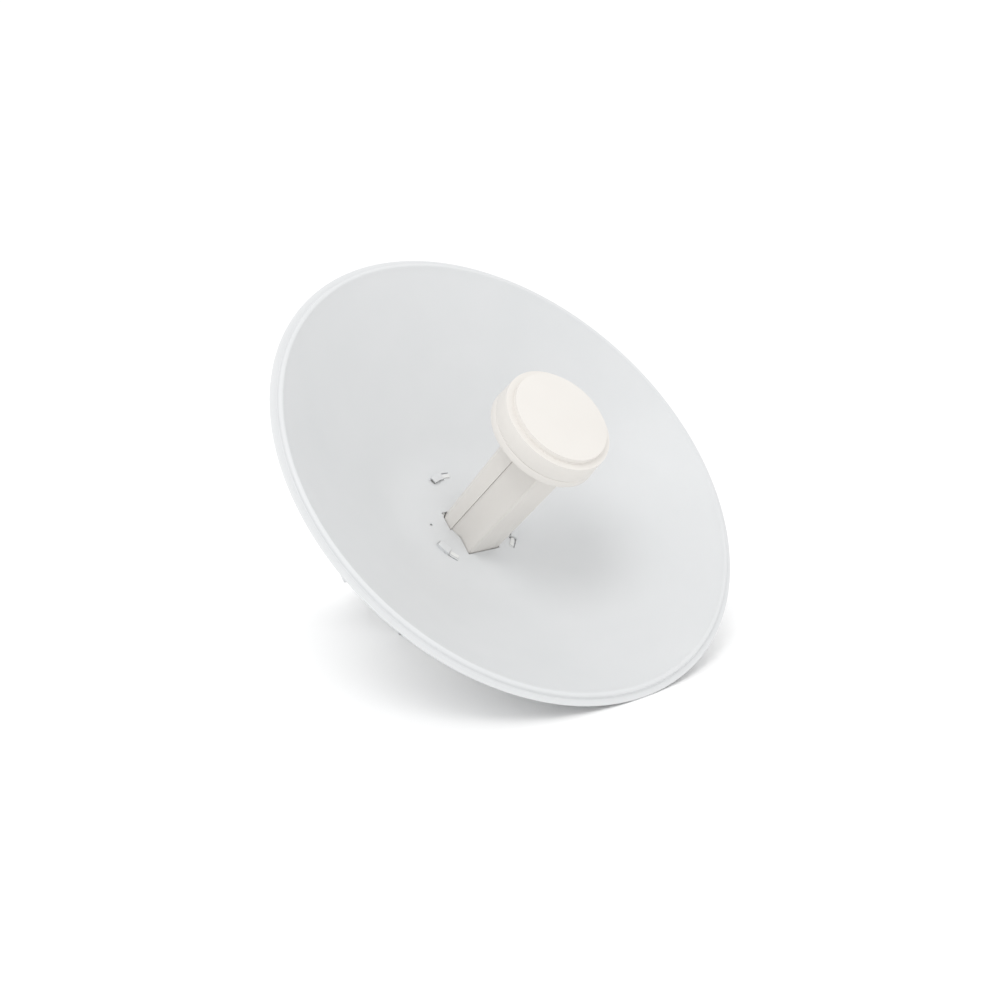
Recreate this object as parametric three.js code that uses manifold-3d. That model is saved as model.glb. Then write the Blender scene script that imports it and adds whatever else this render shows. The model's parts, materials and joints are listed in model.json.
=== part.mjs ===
// Outdoor wireless bridge: a pressed dish reflector, a feed that pushes in from the front and holds
// the radio, a rear housing that twist-locks to the dish, and a steel pole mount.
//
// Every piece is drawn in the unit's own frame, in millimetres:
//   x  to the right of someone who looks into the dish
//   u  up across the dish
//   w  forward along the boresight, with w = 0 at the dish's rim
// and the finished unit is leaned back until its rim and the two feet of its bracket stand on z = 0.

import * as THREE from 'three';
import { mergeVertices } from 'three/addons/utils/BufferGeometryUtils.js';
import Module from 'manifold-3d';

const wasm = await Module();
wasm.setup();

// ---------------------------------------------------------------- driving dimensions (mm)

const GAP = 0.3; // between pieces that touch
const SLIP = 0.6; // around pieces that slide or turn

const dish = {
  radius: 210, // outer edge of the rim
  depth: 85, // from the rim down to the flat bottom
  flatMargin: 6.8, // flat bottom outside the twist-lock tabs
  wall: 1.5,
  crest: 3.7, // height of the rounded bead inside the rim
  crestWidth: 4,
  flange: 5.6, // flat band outside the bead
  drainRadius: 1.2,
  drainX: -38.9,
  drainU: 1.6,
};

const lock = {
  steps: [98.6, 214.9, 325.1], // degrees from +x towards +u, the short radial cut of each lanced tab
  sides: [1, -1, 1], // which way from that cut the thin slit runs; the hood runs the other way
  hood: 16, // degrees that a hood spans
  slit: 13.5, // degrees that a slit spans
  inner: 41, // radius of a hood's open edge
  reach: 6.2, // from there to its outer wall
  cut: 1.1, // degrees, half of the radial cut
  slitWidth: 1,
  height: 2.6, // top of a hood above the dish
  end: 2, // degrees, the closed end of a hood
  ledge: 0.5, // sheet left between a window and its hood's wall
  turn: 0.4, // the same at the hood's end, in degrees
  sheet: 1.3,
};

const stem = {
  halfWidth: 22.5, // upper shell
  lowerHalfWidth: 16.5,
  top: 10, // height of the top face where it leaves the dish
  topRise: 5, // how much higher the top face is at the head
  split: -5.7, // parting line between the shells
  waist: -14.9, // where the sloping facet meets the narrow wall
  bottom: -31,
  overhang: 1.1, // upper shell stands this much proud of the lower one
  chamfer: 5,
  edge: 1.5, // small chamfer along the bottom
  wall: 2,
  rearGap: 3.8, // from its rear end to the housing's rear edge
  front: 38.2, // forward of the rim
};

const head = {
  radius: 47.8, // at the rear edge
  seamTaper: 0.6, // how much smaller the radius is at the seam,
  lipTaper: 1.5, // at the lip,
  discStep: 7.1, // and at the raised front disc
  seam: 6.9, // from the rear face to the seam,
  lip: 22.2, // to the lip,
  front: 27.1, // and to the front face
  wall: 2,
  edge: 1.1,
};

const post = { x: 11, inset: 4.4, radius: 3, pilot: 1.3 }; // pillars for the screws that join the shells
const stemScrew = { radius: 1, hole: 1.6, headRadius: 2.2, headHole: 2.6, headHeight: 1.8, sink: 3 };
const board = { thickness: 1.6, sideGap: 2.5, lift: 1.5, rearGap: 11, noseHalf: 11, nose: 7 };
const can = { sideGap: 5, height: 4, length: 34, spacing: 20, frontGap: 12.2, sheet: 0.6 };
const spreader = { sideGap: 2, thickness: 1.5, rearGap: 18, frontGap: 8.2 };
const jack = { halfWidth: 8, rearGap: 14, depth: 17, lift: 2 };
const plug = { halfWidth: 6, halfHeight: 4, depth: 14, keyHalf: 3, key: 2 };
const reset = { radius: 1.5, rearGap: 7.5, proud: SLIP / 2, shaft: 5, flange: 1 };
const headWindow = { halfWidth: 13, low: -20, high: 6 }; // way from the stem into the head
const radiator = { radius: 20, thickness: 1.6 };
const reflectorDisc = { sideGap: 0.7, thickness: 1.2, behindFront: 8.6, rimWidth: 8, rimDrop: 2 };
const seal = { inset: 2, section: 0.9, groove: 2.4 };

const housing = {
  halfWidth: 50,
  top: 55,
  bottom: -60,
  corner: 14,
  depth: 39, // from its front plate to its rear edge
  wall: 2.6,
  plate: 3, // front plate
  coverThickness: 3,
};

const boss = { inset: 14, edgeGap: 11, radius: 6.5, hole: 3.3, bolt: 3, headRadius: 6, headHeight: 4, length: 20 };
const port = { halfWidth: 14, frontGap: 7.2, rearGap: 5.8, cable: 3.6, ends: 2 };
const portCover = { overlap: 4, thickness: 2.6, rail: 2.4, lip: 1.4 };
const grip = { count: 3, halfWidth: 9, inset: 5, spacing: 3, halfLength: 0.6, height: 0.9 };
const release = { halfWidth: 9, frontGap: 17.2, halfLength: 6, proud: 2.6, flange: 2, tipGap: 4, tipHalf: 2.5 };
const led = { u: 0, frontGap: 21.2, halfHeight: 3, halfLength: 9, recess: 1.4, holeHalf: 1.5, holeHalfLength: 7 };

const sheet = 3; // steel of both brackets and the jaw
const ear = { length: 45.6, foot: -51.1, topRear: 40, plateHalfHeight: 47, gap: 1, shoulder: 12 };
const lightening = { halfWidth: 22, low: -20, high: 24, corner: 6 }; // opening in the bracket's plate
const pivot = { u: 22, behindPlate: 26.6, boltRadius: 4, hole: 4.6, nutRadius: 7.2, nutHeight: 5.5 };
const slot = { radius: 27, swing: 20, spare: 8, boltRadius: 3, hole: 3.6, nutRadius: 5.6, nutHeight: 4.5 };
const cradle = { u: 46, halfHeight: 20, behindPlate: 44.6, notchHalf: 27, web: 3, corner: 7, mouthLand: 4 };
const washer = { overhang: 1, thickness: 1.2 }; // flange under a bolt's head
const pole = { smallest: 15, largest: 22 }; // radii of the poles it clamps
const notchAngle = 60; // degrees from the pole's axis plane to each side of a notch
const clampBolt = { sideGap: 1.4, radius: 4, headRadius: 8, headHeight: 3.6, spare: 3 }; // spare thread past the nut
const clampNut = { radius: 6.5, flangeRadius: 8, flange: 1.4, height: 7 };
const groundScrew = { edgeGap: 9, radius: 2, headRadius: 4, headHeight: 2.2 };

// ---------------------------------------------------------------- derived places

const dishSides = 72; // flat facets around the dish
const headSides = 48;
const lockOuter = lock.inner + lock.reach;
const flatRadius = lockOuter + dish.flatMargin;

// planes along the boresight, from the dish back to the brackets
const dishBack = -dish.depth - dish.wall;
const housingFront = dishBack - GAP;
const housingRear = housingFront - housing.depth;
const coverRear = housingRear - GAP - housing.coverThickness;
const plateFront = coverRear - GAP;
const plateRear = plateFront - sheet;
const earRear = plateRear - ear.length;
const pivotW = plateRear - pivot.behindPlate;
const cradleFace = plateRear - cradle.behindPlate;

// the stem and what lies in it
const stemRear = housingRear + stem.rearGap;
const postW = stemRear + post.inset;
const boardRear = stemRear + board.rearGap;
const boardHalf = stem.halfWidth - stem.wall - board.sideGap;
const boardLow = stem.split + board.lift;
const boardTop = boardLow + board.thickness;
const canHalf = boardHalf - can.sideGap;
const lastCan = stem.front - can.frontGap - can.length;
const spreaderHalf = boardHalf - spreader.sideGap;
const spreaderLow = boardTop + 2 * GAP + can.height;
const jackRear = stemRear + jack.rearGap;
const jackFront = jackRear + jack.depth;
const jackLow = stem.bottom + stem.wall + jack.lift;
const resetW = stemRear + reset.rearGap;
const topSlope = stem.topRise / (stem.front + dish.depth);

// the head
const headRear = stem.front + GAP;
const seamW = headRear + head.seam;
const lipW = headRear + head.lip;
const headFront = headRear + head.front;
const boardFront = headRear - GAP + board.nose;
const seamRadius = head.radius - head.seamTaper;
const lipRadius = head.radius - head.lipTaper;
const discRadius = head.radius - head.discStep;
const reflectorRadius = discRadius - head.wall - reflectorDisc.sideGap;
const reflectorW = headFront - reflectorDisc.behindFront;
const sealRadius = seamRadius - head.wall - seal.inset;

// the housing's small pieces
const bossX = housing.halfWidth - boss.inset;
const bossU = ear.plateHalfHeight - boss.edgeGap;
const portFront = housingFront - port.frontGap;
const portRear = housingRear + port.rearGap;
const releaseW = housingFront - release.frontGap;
const releaseTip = stem.top + release.tipGap;
const ledW = housingFront - led.frontGap;

// brackets, side to side
const earInner = housing.halfWidth - sheet - ear.gap; // inner face of the dish bracket's ears
const earOuter = earInner + sheet;
const cheekOuter = earInner - SLIP; // outer face of the pole bracket's cheeks
const cheekInner = cheekOuter - sheet;
const clampX = cheekInner - clampNut.flangeRadius - clampBolt.sideGap;
const groundU = groundScrew.edgeGap - ear.plateHalfHeight;
const lockU = pivot.u - slot.radius;
const cradleLow = cradle.u - cradle.halfHeight;
const cradleHigh = cradle.u + cradle.halfHeight;

// the clamp on its smallest pole
const apexToPole = pole.smallest / Math.sin(THREE.MathUtils.degToRad(notchAngle));
const apex = cradleFace - sheet - cradle.web; // bottom of the pole bracket's notch
const poleW = apex - apexToPole; // centre line of the smallest pole
const jawApex = poleW - apexToPole;
const notchDepth = cradle.notchHalf / Math.tan(THREE.MathUtils.degToRad(notchAngle));
const jawFace = jawApex - cradle.web; // front face of the jaw's back plate
const jawTravel = (2 * (pole.largest - pole.smallest)) / Math.sin(THREE.MathUtils.degToRad(notchAngle));

// how the unit stands: on the rim's lowest point and the ears' two feet
const floorRise = ear.foot + dish.radius;
const floorRun = -dish.wall - earRear;
const lean = Math.atan2(floorRise, floorRun); // elevation of the boresight

// ---------------------------------------------------------------- materials

const finish = (color, roughness, metalness) => new THREE.MeshStandardMaterial({ color, roughness, metalness });
const powderCoat = finish(0xe6e6e6, 0.5, 0.1);
const feedPlastic = finish(0xf1eeea, 0.45, 0);
const housingPlastic = finish(0xe4e4e2, 0.6, 0);
const zincSteel = finish(0xb9bcc0, 0.35, 1);
const aluminium = finish(0xc8cacc, 0.35, 1);
const circuitBoard = finish(0x1f5a3a, 0.6, 0);
const tinnedSteel = finish(0xc9ccd0, 0.3, 1);
const rubber = finish(0x2a2a2c, 0.8, 0);
const clearPlastic = finish(0xdfe9ee, 0.15, 0);
const greyPlastic = finish(0xb9bcc0, 0.55, 0);

// ---------------------------------------------------------------- solids

/** A closed geometry as a solid that can be joined and cut. */
function solid(geometry) {
  const bare = geometry.clone();
  bare.deleteAttribute('normal');
  bare.deleteAttribute('uv');
  const merged = mergeVertices(bare, 1e-4);
  const corners = merged.index.array;
  const positions = merged.attributes.position.array;
  const kept = [];
  let volume = 0;
  const a = new THREE.Vector3();
  const b = new THREE.Vector3();
  const c = new THREE.Vector3();
  for (let i = 0; i < corners.length; i += 3) {
    const [p, q, r] = [corners[i], corners[i + 1], corners[i + 2]];
    if (p === q || q === r || r === p) continue;
    kept.push(p, q, r);
    a.fromArray(positions, 3 * p);
    b.fromArray(positions, 3 * q);
    c.fromArray(positions, 3 * r);
    volume += a.dot(b.cross(c)) / 6;
  }
  if (volume < 0) kept.reverse();
  return new wasm.Manifold(
    new wasm.Mesh({ numProp: 3, vertProperties: new Float32Array(positions), triVerts: new Uint32Array(kept) }),
  );
}

/** The geometry of a finished solid. */
function geometryOf(body) {
  const mesh = body.getMesh();
  const geometry = new THREE.BufferGeometry();
  geometry.setAttribute('position', new THREE.BufferAttribute(new Float32Array(mesh.vertProperties), 3));
  geometry.setIndex(new THREE.BufferAttribute(new Uint32Array(mesh.triVerts), 1));
  const flat = geometry.toNonIndexed();
  flat.computeVertexNormals();
  return flat;
}

const joined = (...bodies) => bodies.reduce((all, body) => all.add(body));
const cut = (body, ...tools) => tools.reduce((left, tool) => left.subtract(tool), body);

/** Extrudes a flat shape, whose own axes run along the directions a and b, to the given depth along c. */
function extruded(shape, depth, a, b, c, start) {
  const geometry = new THREE.ExtrudeGeometry(shape, { depth, bevelEnabled: false, curveSegments: 6 });
  geometry.applyMatrix4(new THREE.Matrix4().makeBasis(a, b, c));
  geometry.translate(start.x, start.y, start.z);
  return solid(geometry);
}

const X = new THREE.Vector3(1, 0, 0);
const U = new THREE.Vector3(0, 0, 1);
const W = new THREE.Vector3(0, -1, 0);

const outline = (points) =>
  points instanceof THREE.Shape ? points : new THREE.Shape(points.map(([a, b]) => new THREE.Vector2(a, b)));

/** An [x, u] outline from w0 forward to w1. */
const alongW = (points, w0, w1) =>
  extruded(outline(points), w1 - w0, X, U, W, new THREE.Vector3(0, -w0, 0));

/** A [w, u] outline from x0 to x1. */
const alongX = (points, x0, x1) =>
  extruded(outline(points), x1 - x0, W, U, X.clone().negate(), new THREE.Vector3(x1, 0, 0));

/** An [x, w] outline from u0 up to u1. */
const alongU = (points, u0, u1) =>
  extruded(outline(points), u1 - u0, X, W, U.clone().negate(), new THREE.Vector3(0, 0, u1));

/** A block between two corners. */
function block(x0, x1, u0, u1, w0, w1) {
  const geometry = new THREE.BoxGeometry(x1 - x0, w1 - w0, u1 - u0);
  geometry.translate((x0 + x1) / 2, -(w0 + w1) / 2, (u0 + u1) / 2);
  return solid(geometry);
}

/** A round bar, or a hexagonal one with six sides, along w, x or u. */
function bar(radius, length, sides = 20) {
  return new THREE.CylinderGeometry(radius, radius, length, sides);
}
function barW(x, u, w0, w1, radius, sides) {
  const geometry = bar(radius, w1 - w0, sides);
  geometry.translate(x, -(w0 + w1) / 2, u);
  return solid(geometry);
}
function barX(x0, x1, u, w, radius, sides) {
  const geometry = bar(radius, x1 - x0, sides);
  geometry.rotateZ(Math.PI / 2);
  geometry.translate((x0 + x1) / 2, -w, u);
  return solid(geometry);
}
function barU(x, w, u0, u1, radius, sides) {
  const geometry = bar(radius, u1 - u0, sides);
  geometry.rotateX(Math.PI / 2);
  geometry.translate(x, -w, (u0 + u1) / 2);
  return solid(geometry);
}

/** A body turned about the boresight from [radius, w] points. */
function turned(profile, sides) {
  const points = profile.map(([radius, w]) => new THREE.Vector2(radius, w));
  const geometry = new THREE.LatheGeometry(points, sides);
  geometry.rotateZ(Math.PI);
  return solid(geometry);
}

/** A rectangle with round corners. */
function roundedRectangle(a0, a1, b0, b1, radius) {
  const shape = new THREE.Shape();
  shape.moveTo(a0 + radius, b0);
  shape.lineTo(a1 - radius, b0);
  shape.absarc(a1 - radius, b0 + radius, radius, -Math.PI / 2, 0);
  shape.lineTo(a1, b1 - radius);
  shape.absarc(a1 - radius, b1 - radius, radius, 0, Math.PI / 2);
  shape.lineTo(a0 + radius, b1);
  shape.absarc(a0 + radius, b1 - radius, radius, Math.PI / 2, Math.PI);
  shape.lineTo(a0, b0 + radius);
  shape.absarc(a0 + radius, b0 + radius, radius, Math.PI, 1.5 * Math.PI);
  return shape;
}

/** A slot that follows an arc, from angle0 to angle1 in degrees. */
function arcBand(centreA, centreB, inner, outer, angle0, angle1) {
  const [from, to] = [angle0, angle1].map(THREE.MathUtils.degToRad);
  const shape = new THREE.Shape();
  shape.absarc(centreA, centreB, outer, from, to, false);
  shape.absarc(centreA, centreB, inner, to, from, true);
  shape.closePath();
  return shape;
}

// ---------------------------------------------------------------- the scene graph

const unit = new THREE.Group();

function piece(name, body, material, parent = unit) {
  const mesh = new THREE.Mesh(geometryOf(body), material);
  mesh.name = name;
  parent.add(mesh);
  return mesh;
}

// ---------------------------------------------------------------- stem outline, used by all that fits it

const mirrored = (half) => [...half, ...half.map(([x, u]) => [-x, u]).reverse()];

/** The lower shell's outline, grown by the offset. */
function lowerOutline(offset = 0) {
  const x = stem.lowerHalfWidth + offset;
  const wideX = stem.halfWidth - stem.overhang + offset;
  const foot = stem.bottom - offset;
  return mirrored([
    [wideX, stem.split],
    [x, stem.waist],
    [x, foot + stem.edge],
    [x - stem.edge, foot],
  ]);
}

/** The upper shell as a block: straight sides, and a top that climbs towards the head. */
function upperBlock(offset, w0, w1) {
  const x = stem.halfWidth + offset;
  const sides = block(-x, x, stem.split, stem.top + 3 * stem.topRise, w0, w1);
  const crown = stem.top + offset;
  const roof = new THREE.ExtrudeGeometry(
    outline(
      mirrored([
        [x + 1, stem.split - 4 * stem.topRise],
        [x + 1, crown - stem.chamfer - 1],
        [x - stem.chamfer, crown],
      ]),
    ),
    { depth: w1 - w0 + 40, bevelEnabled: false },
  );
  roof.translate(0, 0, w0 - 20 + dish.depth);
  const tilt = new THREE.Matrix4().makeShear(0, 0, 0, 0, 0, topSlope);
  roof.applyMatrix4(tilt);
  roof.applyMatrix4(new THREE.Matrix4().makeBasis(X, U, W));
  roof.translate(0, dish.depth, 0);
  return sides.intersect(solid(roof));
}

/** The whole stem's outline as a cutting tool. */
const stemTool = (offset, w0, w1) => joined(upperBlock(offset, w0, w1), alongW(lowerOutline(offset), w0, w1));

// ---------------------------------------------------------------- dish reflector

/** The first and last angle, in rising order, of a stretch on one side of a tab's radial cut. */
function span(index, from, to) {
  const side = lock.sides[index];
  return [lock.steps[index] + side * from, lock.steps[index] + side * to].sort((a, b) => a - b);
}
const tabs = lock.steps.map((_, index) => index);
const windowOuter = lockOuter - lock.sheet - lock.ledge;
const windowStart = lock.end + lock.turn - lock.hood; // degrees from the radial cut

/** The cuts of one lanced tab: the window under its hood, the radial cut and the thin slit. */
function tabCuts(index, w0, w1) {
  const window = arcBand(0, 0, lock.inner, windowOuter, ...span(index, windowStart, 0));
  const step = arcBand(0, 0, lock.inner - lock.ledge, lockOuter + lock.ledge / 2, ...span(index, -lock.cut, lock.cut));
  const slit = arcBand(0, 0, lockOuter - lock.slitWidth, lockOuter, ...span(index, 0, lock.slit));
  return joined(...[window, step, slit].map((shape) => alongW(shape, w0, w1)));
}

/** The hood of one tab, pressed forward out of the dish and open towards the stem. */
function hood(index) {
  const top = -dish.depth + lock.height;
  const root = -dish.depth - dish.wall / 2;
  const reach = span(index, -lock.hood, -lock.cut - lock.turn);
  const inset = lock.ledge / 2; // keeps the end wall inside the lid and the back wall
  const lid = arcBand(0, 0, lock.inner, lockOuter, ...reach);
  const back = arcBand(0, 0, lockOuter - lock.sheet, lockOuter, ...reach);
  const end = arcBand(0, 0, lock.inner + inset, lockOuter - inset, ...span(index, lock.turn - lock.hood, lock.end - lock.hood));
  return joined(alongW(lid, top - lock.sheet, top), alongW(back, root, top), alongW(end, root, top));
}

function makeDish() {
  const bowlRadius = dish.radius - dish.flange - dish.crestWidth;
  const rise = dish.depth + dish.crest - 1;
  const curve = rise / (bowlRadius ** 2 - flatRadius ** 2);
  const steps = 8;
  const front = [];
  for (let i = 0; i <= steps; i += 1) {
    const radius = THREE.MathUtils.lerp(flatRadius, bowlRadius, i / steps);
    front.push([radius, -dish.depth + curve * (radius ** 2 - flatRadius ** 2)]);
  }
  const beadMiddle = bowlRadius + dish.crestWidth / 2;
  const flangeStart = dish.radius - dish.flange;
  const edge = dish.radius;
  const bead = [
    [beadMiddle - 1, dish.crest],
    [beadMiddle + 1, dish.crest],
    [flangeStart, dish.crest - 1.2],
    [flangeStart + 0.3, 0],
    [edge - 0.8, 0],
    [edge, -0.8],
    [edge, -dish.wall],
    [flangeStart - dish.wall, -dish.wall],
    [flangeStart - dish.wall, dish.crest - dish.wall - 0.6],
  ];
  const back = front.map(([radius, w]) => {
    const slope = radius > flatRadius ? 2 * curve * radius : 0;
    const length = Math.hypot(1, slope);
    return [radius + (dish.wall * slope) / length, w - dish.wall / length];
  });
  const profile = [[0, -dish.depth], ...front, ...bead, ...back.reverse(), [0, dishBack]];
  const shell = turned(profile, dishSides);
  const [behind, before] = [dishBack - 5, -dish.depth + 0.5];
  const stemHole = stemTool(SLIP, behind, before);
  const drain = barW(dish.drainX, dish.drainU, behind, before, dish.drainRadius, 12);
  const windows = tabs.map((index) => tabCuts(index, behind, before));
  return joined(cut(shell, stemHole, ...windows, drain), ...tabs.map(hood));
}

piece('dish_reflector', makeDish(), powderCoat);

// ---------------------------------------------------------------- rear housing and its small pieces

/** One of the housing's studs, which stands in a tab's window, under its hood. */
function stud(index) {
  const inner = lock.inner + 1;
  const outer = windowOuter - GAP;
  const ends = { closed: 0.6, open: 1 }; // degrees, clear of the window's ends
  const shape = arcBand(0, 0, inner, outer, ...span(index, windowStart + ends.closed, -lock.cut - ends.open));
  return alongW(shape, housingFront - housing.plate / 2, -dish.depth + lock.height - lock.sheet - GAP);
}

const portPlate = { top: housing.bottom - GAP, bottom: housing.bottom - GAP - portCover.thickness };
const portCoverHalf = port.halfWidth + portCover.overlap;

function makeHousing() {
  const { halfWidth, top, bottom, corner, wall } = housing;
  const box = alongW(roundedRectangle(-halfWidth, halfWidth, bottom, top, corner), housingRear, housingFront);
  const inside = roundedRectangle(-halfWidth + wall, halfWidth - wall, bottom + wall, top - wall, corner - wall);
  const cavity = alongW(inside, housingRear - 1, housingFront - housing.plate);
  const bosses = [];
  const holes = [];
  for (const x of [-bossX, bossX]) {
    for (const u of [-bossU, bossU]) {
      bosses.push(barW(x, u, housingRear, housingFront - housing.plate / 2, boss.radius, 24));
      holes.push(barW(x, u, housingRear - 1, housingRear + boss.length, boss.hole, 20));
    }
  }
  const opening = block(-port.halfWidth, port.halfWidth, bottom - 1, bottom + wall + 1, portRear, portFront);
  const rails = [-1, 1].map((side) => {
    const inner = portCoverHalf + SLIP / 2;
    const low = portPlate.bottom - SLIP / 2 - portCover.lip;
    const web = [inner, inner + portCover.rail].map((x) => side * x).sort((a, b) => a - b);
    const lip = [inner - portCover.overlap / 2, inner + portCover.rail].map((x) => side * x).sort((a, b) => a - b);
    return joined(
      block(...web, low, bottom + wall / 2, portRear - port.ends, portFront + port.ends),
      block(...lip, low, low + portCover.lip, portRear - port.ends, portFront + port.ends),
    );
  });
  const buttonHole = block(
    -release.halfWidth - SLIP / 2,
    release.halfWidth + SLIP / 2,
    top - wall - 1,
    top + 1,
    releaseW - release.halfLength - SLIP / 2,
    releaseW + release.halfLength + SLIP / 2,
  );
  const ledSeat = block(
    halfWidth - led.recess,
    halfWidth + 1,
    led.u - led.halfHeight - GAP,
    led.u + led.halfHeight + GAP,
    ledW - led.halfLength - GAP,
    ledW + led.halfLength + GAP,
  );
  const ledHole = block(
    halfWidth - wall - 1,
    halfWidth,
    led.u - led.holeHalf,
    led.u + led.holeHalf,
    ledW - led.holeHalfLength,
    ledW + led.holeHalfLength,
  );
  return cut(
    joined(cut(box, cavity), ...bosses, ...tabs.map(stud), ...rails),
    ...holes,
    stemTool(SLIP, housingFront - housing.plate - 1, housingFront + 1),
    opening,
    buttonHole,
    ledSeat,
    ledHole,
  );
}

piece('rear_housing', makeHousing(), housingPlastic);

function makeHousingCover() {
  const { halfWidth, top, bottom, corner } = housing;
  const panel = alongW(roundedRectangle(-halfWidth, halfWidth, bottom, top, corner), coverRear, housingRear - GAP);
  const holes = [];
  for (const x of [-bossX, bossX]) {
    for (const u of [-bossU, bossU]) holes.push(barW(x, u, coverRear - 1, housingRear, boss.hole + 0.2, 20));
  }
  return cut(panel, ...holes);
}

piece('housing_cover', makeHousingCover(), housingPlastic);

const ledLens = block(
  housing.halfWidth - led.recess + GAP,
  housing.halfWidth + 0.3,
  led.u - led.halfHeight,
  led.u + led.halfHeight,
  ledW - led.halfLength,
  ledW + led.halfLength,
);
piece('led_window', ledLens, clearPlastic);

function makePortCover() {
  const { bottom: low, top: high } = portPlate;
  const rear = portRear - port.ends;
  const panel = block(-portCoverHalf, portCoverHalf, low, high, rear, portFront + port.ends);
  const ridges = Array.from({ length: grip.count }, (_, i) => {
    const w = portFront - grip.inset - grip.spacing * i;
    return block(-grip.halfWidth, grip.halfWidth, low - grip.height, low + 0.5, w - grip.halfLength, w + grip.halfLength);
  });
  const notchEnd = portRear + port.cable + port.ends;
  const notch = joined(
    barU(0, notchEnd, low - 2, high + 1, port.cable, 24),
    block(-port.cable, port.cable, low - 2, high + 1, rear - 1, notchEnd),
  );
  return cut(joined(panel, ...ridges), notch);
}

piece('port_cover', makePortCover(), housingPlastic);

function makeReleaseButton() {
  const { halfWidth, halfLength, proud, flange, tipHalf } = release;
  const w = releaseW;
  const inside = housing.top - housing.wall - GAP;
  return joined(
    block(-halfWidth, halfWidth, inside - 0.5, housing.top + proud, w - halfLength, w + halfLength),
    block(-halfWidth - flange, halfWidth + flange, inside - 2, inside, w - halfLength - flange, w + halfLength + flange),
    block(-tipHalf, tipHalf, releaseTip, inside - 1, w - tipHalf, w + tipHalf),
  );
}

piece('release_button', makeReleaseButton(), greyPlastic);

// ---------------------------------------------------------------- feed: stem shells

function makeUpperShell() {
  const outer = upperBlock(0, stemRear, stem.front);
  const inner = upperBlock(-stem.wall, stemRear + stem.wall, stem.front + 1);
  const reach = stem.halfWidth - stem.wall;
  const doorway = block(-reach, reach, stem.split - 1, stem.split + 2, stemRear + stem.wall, stem.front + 1);
  const pillars = [-1, 1].map((side) => barU(side * post.x, postW, stem.split, stem.top - 3, post.radius, 16));
  const pilots = [-1, 1].map((side) => barU(side * post.x, postW, stem.split - 1, stem.top - 5, post.pilot, 12));
  return cut(joined(cut(outer, joined(inner, doorway)), ...pillars), ...pilots);
}

piece('stem_upper_shell', makeUpperShell(), feedPlastic);

function makeLowerShell() {
  const top = stem.split - GAP;
  const outer = cut(
    alongW(lowerOutline(0), stemRear, stem.front),
    block(-40, 40, top, 40, stemRear - 1, stem.front + 1),
  );
  const inner = alongW(lowerOutline(-stem.wall), stemRear + stem.wall, stem.front + 1);
  const mouth = block(
    -jack.halfWidth - GAP,
    jack.halfWidth + GAP,
    stem.bottom - 1,
    stem.bottom + stem.wall + 1,
    jackRear - GAP,
    jackFront + GAP,
  );
  const pillars = [-1, 1].map((side) => barU(side * post.x, postW, stem.bottom + 1, top, post.radius + 0.2, 16));
  const holes = [-1, 1].map((side) =>
    joined(
      barU(side * post.x, postW, stem.bottom - 1, top + 1, stemScrew.hole, 12),
      barU(side * post.x, postW, stem.bottom - 1, stem.bottom + stemScrew.sink, stemScrew.headHole, 16),
    ),
  );
  const resetHole = barU(0, resetW, stem.bottom - 1, stem.bottom + stem.wall + 1, reset.radius + SLIP / 2, 16);
  return cut(joined(cut(outer, inner), ...pillars), mouth, resetHole, ...holes);
}

piece('stem_lower_shell', makeLowerShell(), feedPlastic);

[-1, 1].forEach((side, i) => {
  const seat = stem.bottom + stemScrew.sink - GAP;
  const screw = joined(
    barU(side * post.x, postW, seat - stemScrew.headHeight, seat, stemScrew.headRadius, 16),
    barU(side * post.x, postW, seat - 0.5, stem.top - 6, stemScrew.radius, 12),
  );
  piece(`stem_screw_${i + 1}`, screw, zincSteel);
});

// ---------------------------------------------------------------- feed: radio inside the stem

piece(
  'main_board',
  joined(
    block(-boardHalf, boardHalf, boardLow, boardTop, boardRear, stem.front - GAP),
    block(-board.noseHalf, board.noseHalf, boardLow, boardTop, stem.front - 1, boardFront),
  ),
  circuitBoard,
);

[lastCan - can.spacing - can.length, lastCan].forEach((start, i) => {
  const low = boardTop + GAP;
  const end = start + can.length;
  const t = can.sheet;
  const cover = block(-canHalf, canHalf, low, low + can.height, start, end);
  const under = block(-canHalf + t, canHalf - t, low - 1, low + can.height - t, start + t, end - t);
  piece(`shield_can_${i + 1}`, cut(cover, under), tinnedSteel);
});

piece(
  'heat_spreader',
  block(
    -spreaderHalf,
    spreaderHalf,
    spreaderLow,
    spreaderLow + spreader.thickness,
    stemRear + spreader.rearGap,
    stem.front - spreader.frontGap,
  ),
  aluminium,
);

function makeJack() {
  const body = block(-jack.halfWidth, jack.halfWidth, jackLow, boardLow - GAP, jackRear, jackFront);
  const middle = (jackRear + jackFront) / 2;
  const [low, high] = [jackLow - 1, jackLow + plug.depth];
  const keyRear = middle - plug.halfHeight - plug.key;
  const mouth = block(-plug.halfWidth, plug.halfWidth, low, high, middle - plug.halfHeight, middle + plug.halfHeight);
  return cut(body, mouth, block(-plug.keyHalf, plug.keyHalf, low, high, keyRear, middle));
}

piece('ethernet_jack', makeJack(), tinnedSteel);

piece(
  'reset_button',
  joined(
    barU(0, resetW, stem.bottom - reset.proud, stem.bottom + reset.shaft, reset.radius, 16),
    barU(0, resetW, stem.bottom + stem.wall + GAP, stem.bottom + reset.shaft, reset.radius + reset.flange, 16),
  ),
  greyPlastic,
);

// ---------------------------------------------------------------- feed: head

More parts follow.
